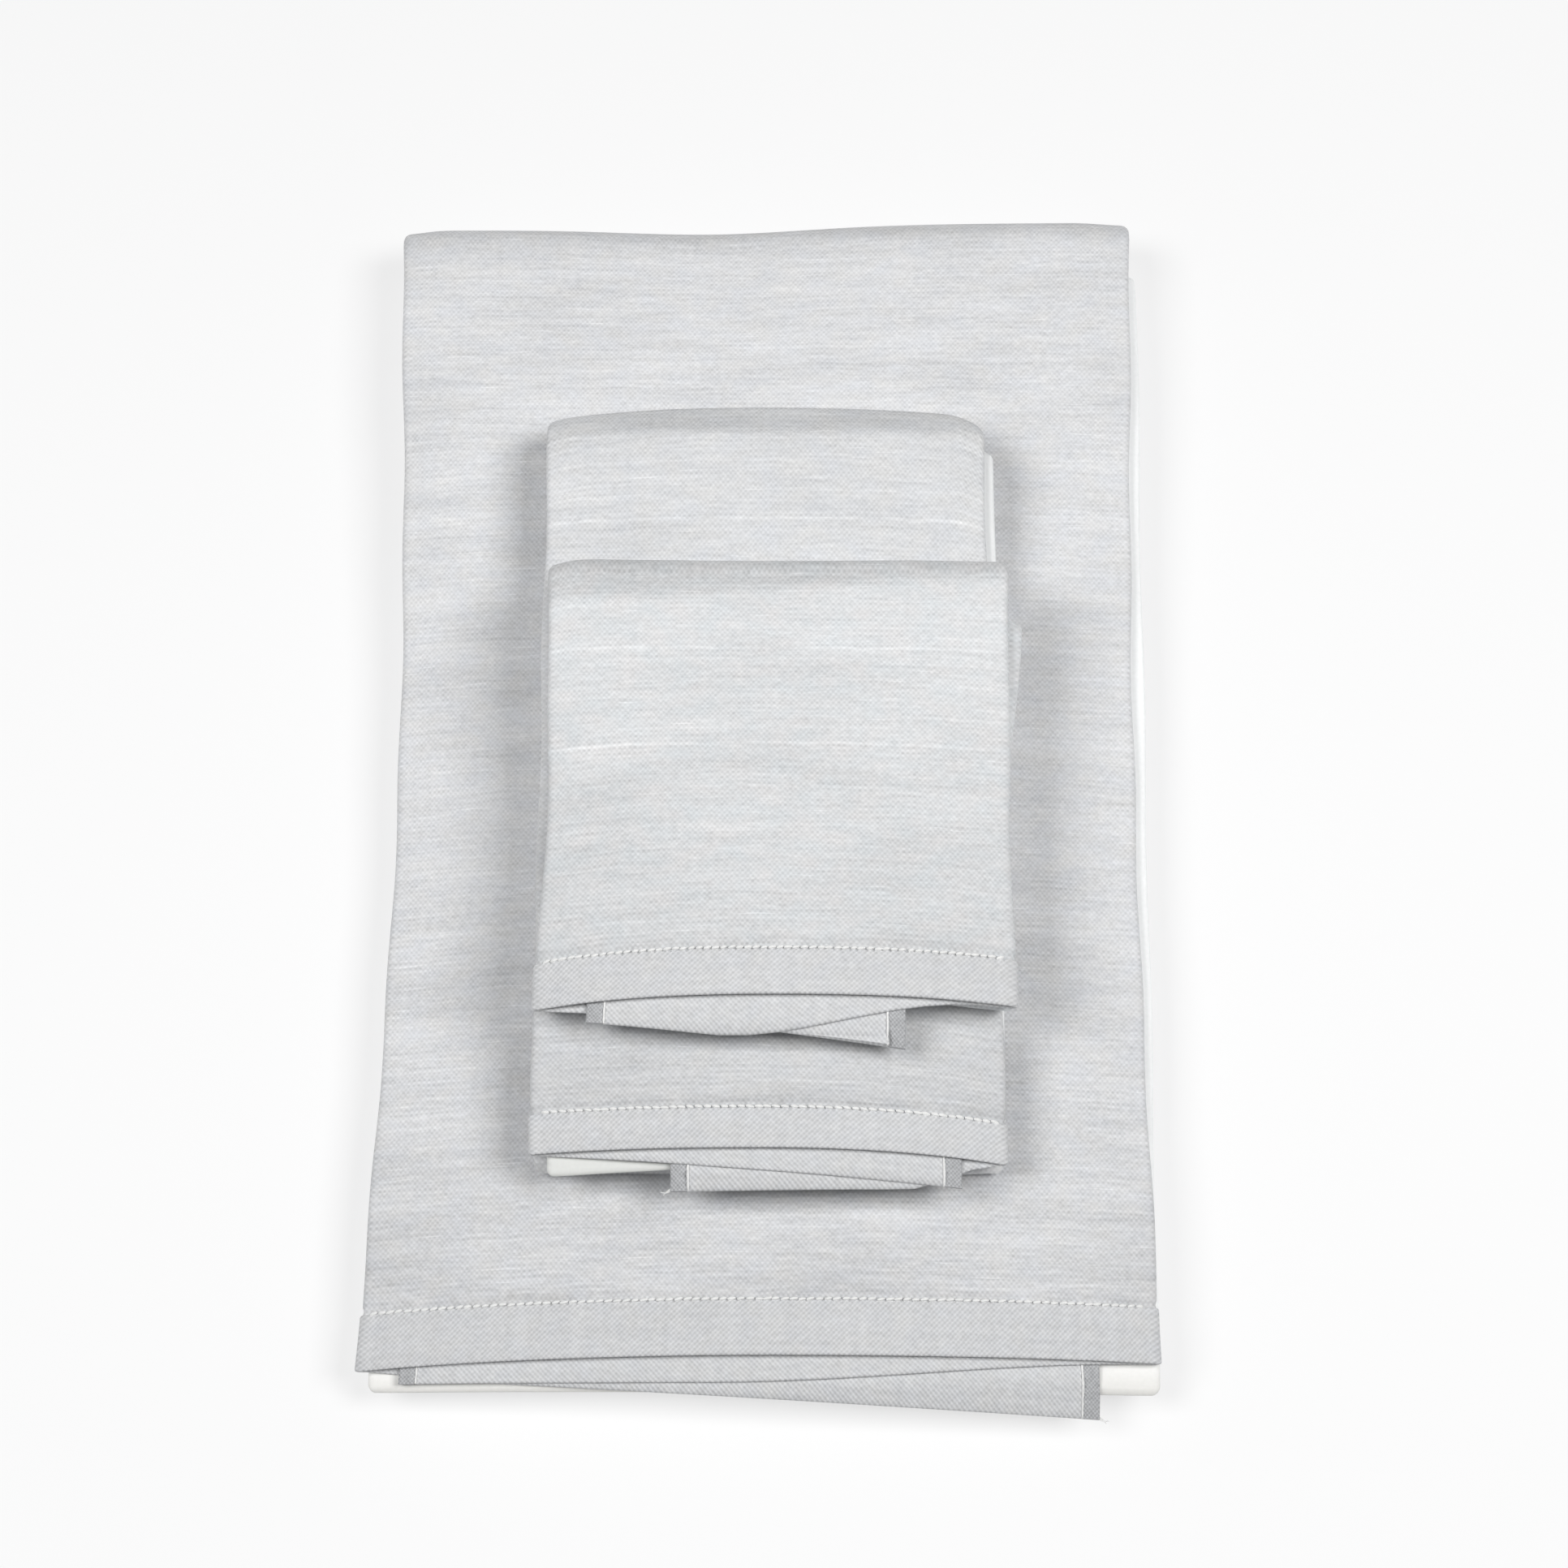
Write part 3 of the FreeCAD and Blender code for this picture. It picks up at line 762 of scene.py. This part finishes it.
def felt(name, colour, other, changes_at):
    """The insert: smooth white wadding with a faint nap. It takes the first colour in front of a place;
    that darker first colour is painted shade under the hem above the pad.
    """
    n = Nodes(name)
    u, v = n.flat()
    nap = n.noise(u, v, 900, 900, 2.0, 0.10, detail=3.0)
    cloudy = n.noise(u, v, 40, 40, 6.0, 0.08)
    tint = n.limit(n.over(n.minus(v, changes_at), 20 * MM), 0.0, 1.0)
    n.shade(colour, other, tint, n.total(1.0, nap, cloudy), nap, 0.0002, 0.4)
    return n.finish(0.75, sheen=0.1)


def floor_material():
    n = Nodes("studio_floor")
    x, y = n.parts(n.new("ShaderNodeTexCoord").outputs["Object"])[:2]
    cloudy = n.noise(x, y, 4, 4, 1.0, 0.01)
    n.shade(FLOOR_COLOUR, FLOOR_COLOUR, 0.5, n.total(1.0, cloudy), cloudy, 0.0001, 0.1)
    n.fill(n.shader, {"Emission Color": (1.0, 1.0, 1.0, 1), "Emission Strength": FLOOR_GLOW})
    return n.finish(0.9)


FLOOR_COLOUR = (0.29, 0.29, 0.29)
FLOOR_GLOW = 0.645
BATH_GREYS = (0.652, 0.661, 0.682), (0.676, 0.674, 0.674)
HAND_GREYS = (0.622, 0.632, 0.650), (0.646, 0.646, 0.646)
WASH_GREYS = (0.632, 0.652, 0.666), (0.667, 0.663, 0.665)
DULL_GREYS = (0.570, 0.578, 0.594), (0.588, 0.588, 0.588)
ENDS = 690  # repeats of the weave to the metre, across
PICKS = 615  # and along, on the face
REVERSE_PICKS = 680
SLUBS_ON_HAND = (0.1825,)
SLUBS_ON_WASH = (0.0735, 0.103)
TOWEL_REVERSE = reverse_weave("towel_reverse", slant=0.0, seed=5.0)
TOWEL_HEM = reverse_weave("towel_hem", slant=0.15, seed=15.0)
WASH_REVERSE = reverse_weave("wash_reverse", slant=0.0, seed=25.0)
WASH_HEM = reverse_weave("wash_hem", slant=0.1, seed=35.0)
SIDE_TAPE = tape("side_tape", (0.40, 0.405, 0.415))
WHITE_THREAD = thread("white_thread", (0.85, 0.85, 0.84))
# Each pad is darker in front: painted shade under the hem. The hand's pad is greyer all over: painted shade
# deep in its pile.
WHITE_FELT = felt("white_felt", (0.79, 0.78, 0.75), (0.92, 0.93, 0.93), changes_at=-0.175)
SHADED_FELT = felt("dusty_felt", (0.665, 0.672, 0.65), (0.81, 0.82, 0.82), changes_at=-0.10)


# Pieces of a towel


class Dress:
    """Makes the pieces of one towel and puts them on its bodies."""

    def __init__(self, towel, lower, upper, slot, face, reverse, hem):
        self.towel = towel
        self.name = towel.name
        self.lower, self.upper = lower, upper
        self.slot = slot
        self.cloth = [face, reverse, SIDE_TAPE, WHITE_THREAD]
        self.hem = hem
        self.sheets = {}
        self.s = towel.columns(SIDE_HEM - TUCK, towel.flat_width - SIDE_HEM + TUCK)

    def sheet(self, label, span, step, body, replaced, rests_on, valley=None, edged=False):
        """A length of the cloth over a span (start, end) of v. It rides on a body or, given two heights
        instead, stays fixed where it is made."""
        towel = self.towel
        start, end = span
        build = Build()
        rows = spread(start, end, step)
        if valley is not None:
            fine = valley + np.array([-0.6, 0.0, 0.6, 1.3, 2.3]) * MM
            rows = np.concatenate([[start], fine, spread(fine[-1], end, step)[1:]])
        add_sheet(build, towel, self.s, rows, valley)
        if edged:
            self.add_side_hems(build, start, end, step, kind=2)
            self.add_side_seams(build, start, end, kind=3)
        piece = build.finish(f"{self.name}_{label}", self.cloth if edged else self.cloth[:2], self.slot)
        if isinstance(body, str):
            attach(piece, body)
        else:
            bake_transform(piece)
        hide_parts(*[f"{self.name}_{node}" for node in replaced])
        self.sheets[label] = (piece, abs(end - start), [rests_on])

    def put(self, build, label, material, slot, body, replaced, sharp=50.0):
        """Makes a piece that rides on one body and takes the place of one node."""
        piece = build.finish(f"{self.name}_{label}", [material], slot, sharp)
        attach(piece, body)
        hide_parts(f"{self.name}_{replaced}")
        return piece

    def back_fold(self, label, span, step, heights):
        nodes = [f"lower_{label}", f"upper_{label}"]
        self.sheet(f"{label}_cloth", span, step, heights, nodes, f"{self.name}_lower_cloth", edged=True)

    def top_leaf(self, rests_on):
        towel, hem = self.towel, self.towel.end_hem
        span = (hem - TUCK, towel.top_end - towel.seam)
        valley = hem + 0.9 * MM
        self.sheet("top_leaf_cloth", span, FACE_STEP, self.upper, ["top_leaf"], rests_on, valley)

    def add_side_hems(self, build, start, end, step, kind=0):
        """The narrow folded strips along both free edges."""
        towel = self.towel
        half = towel.cloth / 2
        outline = rounded_strip(SIDE_HEM, -half - 0.18 * MM, half + 0.18 * MM, 0.5 * MM)
        rows = spread(start, end, step)
        for mirror in (False, True):
            s = towel.flat_width - outline[:, 0] if mirror else outline[:, 0]
            rings = np.stack(np.broadcast_arrays(s, rows[:, None], outline[:, 1]), -1)
            add_rings(build, towel, rings, kind)

    def add_side_seams(self, build, start, end, kind=0):
        """The line of chain stitch at each strip's inner edge."""
        towel = self.towel
        rows = spread(start, end, SEAM_STITCH)
        radii = np.where(np.arange(len(rows)) % 2, 0.48, 0.34) * MM
        tall = (towel.cloth / 2 + HEM_PROUD + 0.2 * MM) / (0.40 * MM)
        for s in (SIDE_HEM + 0.1 * MM, towel.flat_width - SIDE_HEM - 0.1 * MM):
            centres = np.stack([np.full(len(rows), s), rows, np.zeros(len(rows))], -1)
            add_thread(build, towel, centres, radii, tall=tall, kind=kind)

    def add_frayed_ends(self, build, s, v, towards_s, towards_v):
        """Loose threads from a corner of the cloth, in a direction given in cloth coordinates."""
        random = np.random.default_rng(len(self.name) + 40)
        t = np.linspace(0, 1, 7)
        for _ in range(FRAYED_THREADS):
            length = random.uniform(1.5, 3.5) * MM
            spread_out = random.uniform(0.1, 0.5) * length * t**2
            bow = random.uniform(-0.8, 0.8) * MM * np.sin(math.pi * t)
            along_s = s + towards_s * length * t + towards_v * bow
            along_v = v + towards_v * length * t + towards_s * (spread_out + bow)
            centres = np.stack([along_s, along_v, 0.3 * MM * t], -1)
            add_thread(build, self.towel, centres, np.full(len(t), FRAY_RADIUS))

    def side_pieces(self, label, spans, body, frayed=None):
        """The side hems and their stitching on one body, over spans (start, end) of v."""
        hems, seams = Build(), Build()
        if frayed is not None:
            self.add_frayed_ends(seams, *frayed)
        for start, end in spans:
            self.add_side_hems(hems, start, end, 6 * MM)
            self.add_side_seams(seams, start, end)
        strips = (f"{label}_side_hem_strips", SIDE_TAPE, "side_hem_tape", body, f"{label}_side_hems")
        stitches = (f"{label}_side_seams", WHITE_THREAD, "white_thread", body, f"{label}_side_stitching")
        return [self.put(hems, *strips), self.put(seams, *stitches)]

    def end_hem(self, label, start, towards, body, replaced, scalloped=False):
        """The wide hem across an end. start is v at the end, and towards says which way the cloth goes."""
        towel = self.towel
        half = towel.cloth / 2
        soften = 0.62 * MM
        outline = rounded_strip(towel.end_hem, -half, half + HEM_PROUD, soften)
        inner = towel.flat_width - SIDE_HEM
        if scalloped:
            pitch = towel.shape["stitch_pitch"] * MM
            face = spread(towel.face_start, towel.face_end, pitch / 5)
            s = np.concatenate([self.s[self.s < face[0] - MM], face, self.s[self.s > face[-1] + MM]])
        else:
            s = self.s
        s = s[(s > SIDE_HEM - 1.5 * TUCK) & (s < inner + 1.5 * TUCK)]
        v = start + towards * outline[:, 0]
        rings = np.stack(np.broadcast_arrays(s[:, None], v, outline[:, 1]), -1)
        if scalloped:
            pulled = (0.5 + 0.5 * np.cos(TAU * (s - towel.face_start) / pitch)) ** 3
            on_face = (s > towel.face_start) & (s < towel.face_end)
            edge_points = (outline[:, 0] > towel.end_hem - 1.5 * soften) & (outline[:, 1] > half - soften)
            pull = np.where(on_face, pulled, 0)[:, None] * edge_points[None, :]
            rings[..., 1] -= towards * 0.45 * MM * pull
            rings[..., 2] -= 0.12 * MM * pull
        build = Build()
        add_rings(build, towel, rings)
        return self.put(build, label, self.hem, self.slot, body, replaced)

    def whip_stitches(self, body):
        """Slanting stitches that hold the wide hem down on the face panel."""
        towel, build = self.towel, Build()
        pitch = towel.shape["stitch_pitch"] * MM
        half = towel.cloth / 2
        t = np.linspace(0, 1, 6)
        count = int((towel.face_end - towel.face_start) / pitch)
        random = np.random.default_rng(len(self.name) + count)
        for number in range(count):
            s = towel.face_start + (number + 0.5) * pitch + random.normal(0, 0.10) * MM
            reach = (STITCH_REACH + random.normal(0, 0.03)) * pitch
            slant = random.normal(0.14, 0.06) * MM
            centre_s = s + reach * (2 * t - 1)
            centre_v = towel.end_hem + 0.1 * MM + slant * (2 * t - 1) + random.normal(0, 0.05) * MM
            centre_h = half + HEM_PROUD - 0.30 * MM + 0.22 * MM * np.sin(math.pi * t)
            radii = STITCH_RADIUS * (0.30 + 0.70 * np.sin(math.pi * (0.10 + 0.80 * t)))
            add_thread(build, towel, np.stack([centre_s, centre_v, centre_h], -1), radii)
        return self.put(build, "whip_stitches", WHITE_THREAD, "white_thread", body, "hem_stitching")

    def insert(self, body, wadding, shift, lean, grow, turn, back):
        """The white pad: flat, with a round rim and round corners. It lies a shift to the side and some way
        back, leans and turns by slopes, and is wider by grow on either side."""
        low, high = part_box(f"{self.name}_insert")
        thick = 0.94 * (high.z - low.z) / 2
        middle_z = (high.z + low.z) / 2
        half_x = (high.x - low.x) / 2 + grow
        half_y = (high.y - low.y) / 2 - 1.5 * MM
        corner = 2.5 * MM
        centre_x = (high.x + low.x) / 2
        centre_y = (high.y + low.y) / 2 - 3.0 * MM

        def ticks(half):
            rim = half - thick * np.array([0.0, 0.06, 0.18, 0.4, 0.7, 1.1])
            body_ticks = spread(-rim[-1], rim[-1], 5 * MM)[1:-1]
            return np.concatenate([-rim, body_ticks, rim[::-1]])

        grid_x, grid_y = np.meshgrid(ticks(half_x), ticks(half_y))

        def edge(value, half):
            inwards = np.clip((half - np.abs(value)) / (1.1 * thick), 0, 1)
            return np.sqrt(1 - (1 - inwards) ** 2)

        plump = np.minimum(edge(grid_x, half_x), edge(grid_y, half_y))
        dx = np.clip((np.abs(grid_x) - (half_x - corner)) / corner, 0, 1)
        dy = np.clip((np.abs(grid_y) - (half_y - corner)) / corner, 0, 1)
        x = centre_x + grid_x - corner * dx * (1 - np.sqrt(1 - dy**2 / 2)) * np.sign(grid_x)
        y = centre_y + grid_y - corner * dy * (1 - np.sqrt(1 - dx**2 / 2)) * np.sign(grid_y)
        wavy = 0.35 * MM * np.sin(TAU * y / (95 * MM))
        y = y + turn * (x - centre_x) + back
        x = x + shift + lean * y + wavy * np.sign(grid_x)
        heights = [middle_z + sign * thick * plump for sign in (1, -1)]
        sides = [self.towel.settle(x, y, z, own_waist=False) for z in heights]
        build = Build()
        uv = np.stack([x, y], -1)
        build.add(np.stack(sides), np.stack([uv, uv]), closed_sheet(*grid_x.shape, 0))
        piece = self.put(build, "insert_pad", wadding, "white_insert", body, "insert", sharp=80)
        turn_outwards(piece.data, weld=True)


def dress_in_four(towel, rests_on, *looks):
    """A towel of four leaves that opens between its lower and its upper two."""
    name, seam = towel.name, towel.seam
    lower, upper = f"{name}_lower_half", f"{name}_upper_half"
    d = Dress(towel, lower, upper, *looks)
    lower_span = (towel.lower_start + seam, towel.lower_end - seam)
    leaves = ["bottom_leaf", "third_leaf", "front_fold"]
    d.sheet("lower_cloth", lower_span, 3.2 * MM, lower, leaves, rests_on)
    margin = 2 * MM
    heights = (towel.bottom + towel.leaf + margin, towel.top - towel.leaf - margin)
    d.back_fold("outer_back_fold", (towel.top_end - seam, towel.lower_start + seam), 1.6 * MM, heights)
    heights = (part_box(f"{name}_third_leaf")[1].z, towel.opening)
    d.back_fold("inner_back_fold", (towel.lower_end - seam, towel.second_start + seam), 0.6 * MM, heights)
    second_span = (towel.second_start + seam, towel.second_end - towel.end_hem + TUCK)
    d.sheet("second_leaf_cloth", second_span, 8 * MM, upper, ["second_leaf"], f"{name}_lower_cloth")
    d.top_leaf(f"{name}_insert_pad")
    second_hem = d.end_hem("second_hem", towel.second_end, -1, upper, "second_end_hem")
    top_hem = d.end_hem("top_hem", 0.0, 1, upper, "top_end_hem", scalloped=True)
    whips = d.whip_stitches(upper)
    lower_sides = d.side_pieces("lower", [lower_span], lower)
    upper_spans = [(0.0, towel.top_end - seam), (towel.second_start + seam, towel.second_end)]
    flap_corner = (0.8 * MM, 0.5 * MM, -1.0, 0.0)
    upper_sides = d.side_pieces("upper", upper_spans, upper, frayed=flap_corner)
    return d


def dress_in_three(towel, *looks):
    """A cloth of three leaves, folded in a Z. Its top leaf unfolds."""
    name, seam = towel.name, towel.seam
    lower, upper = f"{name}_lower_leaves", f"{name}_top"
    d = Dress(towel, lower, upper, *looks)
    start = towel.lower_start + seam
    leaves = ["bottom_leaf", "middle_leaf", "front_fold"]
    span = (start, towel.lower_end - towel.end_hem + TUCK)
    d.sheet("lower_cloth", span, 2.6 * MM, lower, leaves, "hand_top_leaf_cloth")
    heights = (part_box(f"{name}_middle_leaf")[1].z, towel.opening)
    d.back_fold("back_fold", (towel.top_end - seam, start), 0.5 * MM, heights)
    d.top_leaf(f"{name}_lower_cloth")
    bottom_hem = d.end_hem("bottom_hem", towel.lower_end, -1, lower, "bottom_end_hem")
    top_hem = d.end_hem("top_hem", 0.0, 1, upper, "top_end_hem", scalloped=True)
    whips = d.whip_stitches(upper)
    stray_end = towel.lower_end - (towel.back - towel.shape["stray"][2] * MM)
    stray_corner = ((towel.face_end + towel.middle_start) / 2, stray_end, 0.0, 1.0)
    lower_sides = d.side_pieces("lower", [(start, towel.lower_end)], lower, frayed=stray_corner)
    upper_sides = d.side_pieces("upper", [(0.0, towel.top_end - seam)], upper)


bath = Towel("bath", 4)
hand = Towel("hand", 4, mirrored=True, under=bath)
wash = Towel("wash", 3, under=hand)

bath_face = face_weave(bath, *BATH_GREYS, streak=1.25, seed=1.0)
hand_face = face_weave(hand, *HAND_GREYS, streak=1.15, seed=21.0, long_slubs=SLUBS_ON_HAND)
wash_face = face_weave(wash, *WASH_GREYS, streak=1.0, seed=51.0, long_slubs=SLUBS_ON_WASH)

bath_dress = dress_in_four(bath, "floor", "towel_cloth", bath_face, TOWEL_REVERSE, TOWEL_HEM)
hand_dress = dress_in_four(hand, "bath_top_leaf_cloth", "towel_cloth", hand_face, TOWEL_REVERSE, TOWEL_HEM)
dress_in_three(wash, "wash_cloth", wash_face, WASH_REVERSE, WASH_HEM)
bath_lies = {"shift": 3.3 * MM, "lean": 0.016, "grow": -0.3 * MM, "turn": -0.004, "back": -0.2 * MM}
hand_lies = {"shift": 3.4 * MM, "lean": 0.004, "grow": 1.0 * MM, "turn": 0.045, "back": 4.2 * MM}
bath_dress.insert("bath_upper_half", WHITE_FELT, **bath_lies)
hand_dress.insert("hand_upper_half", SHADED_FELT, **hand_lies)


# Studio


WORLD_COLOUR = (0.97, 0.985, 1.0, 1)
WALL_GLOW, CEILING_GLOW = 0.68, 0.08
WALL_TO_CEILING = (0.10, 0.35)  # the upward part of a direction, from the wall's top to the ceiling
LIGHT_POWERS = {"soft_right": 10.6, "soft_left": 8.9}
LIGHT_PLACE = (0.58, -0.10, 1.16)  # of the right one; the left one is its mirror image
LIGHT_SIZE = (0.44, 0.50)
LENS = 67.08  # millimetres, on a sensor of 36
TILT = math.radians(18)
DISTANCE = 0.858
TARGET = (6.0 * MM, 2.9 * MM)


def stage_floor():
    bpy.ops.mesh.primitive_grid_add(x_subdivisions=8, y_subdivisions=8, size=4.0)
    floor = bpy.context.object
    floor.name = "floor"
    floor.data.materials.append(floor_material())


def world():
    """A pale wall all round, and a dim ceiling."""
    n = Nodes("studio", "worlds", "Background")
    upward = n.parts(n.new("ShaderNodeTexCoord").outputs["Generated"])[2]
    start, end = WALL_TO_CEILING
    heights = {"Value": upward, "From Min": start, "From Max": end}
    glow = n.new("ShaderNodeMapRange")
    n.fill(glow, {**heights, "To Min": WALL_GLOW, "To Max": CEILING_GLOW})
    n.fill(n.shader, {"Color": WORLD_COLOUR, "Strength": glow.outputs[0]})
    bpy.context.scene.world = n.owner


def hold(name, data, place):
    holder = bpy.data.objects.new(name, data)
    holder.location = place
    bpy.context.scene.collection.objects.link(holder)
    return holder


def lights():
    for side, (name, power) in zip((1, -1), LIGHT_POWERS.items()):
        light = bpy.data.lights.new(name, "AREA")
        light.shape = "RECTANGLE"
        light.size, light.size_y = LIGHT_SIZE
        light.energy = power
        holder = hold(name, light, (side * LIGHT_PLACE[0], *LIGHT_PLACE[1:]))
        holder.rotation_euler = (-holder.location).to_track_quat("-Z", "Y").to_euler()


def camera():
    """Looks at the target from the front and above."""
    made = bpy.data.cameras.new("camera")
    made.lens = LENS
    made.sensor_width = 36.0
    made.clip_start = 0.01
    x, y = TARGET
    holder = hold("camera", made, (x, y - DISTANCE * math.sin(TILT), DISTANCE * math.cos(TILT)))
    holder.rotation_euler = (TILT, 0, 0)
    bpy.context.scene.camera = holder
    bpy.context.scene.view_settings.view_transform = "Standard"


stage_floor()
world()
lights()
camera()
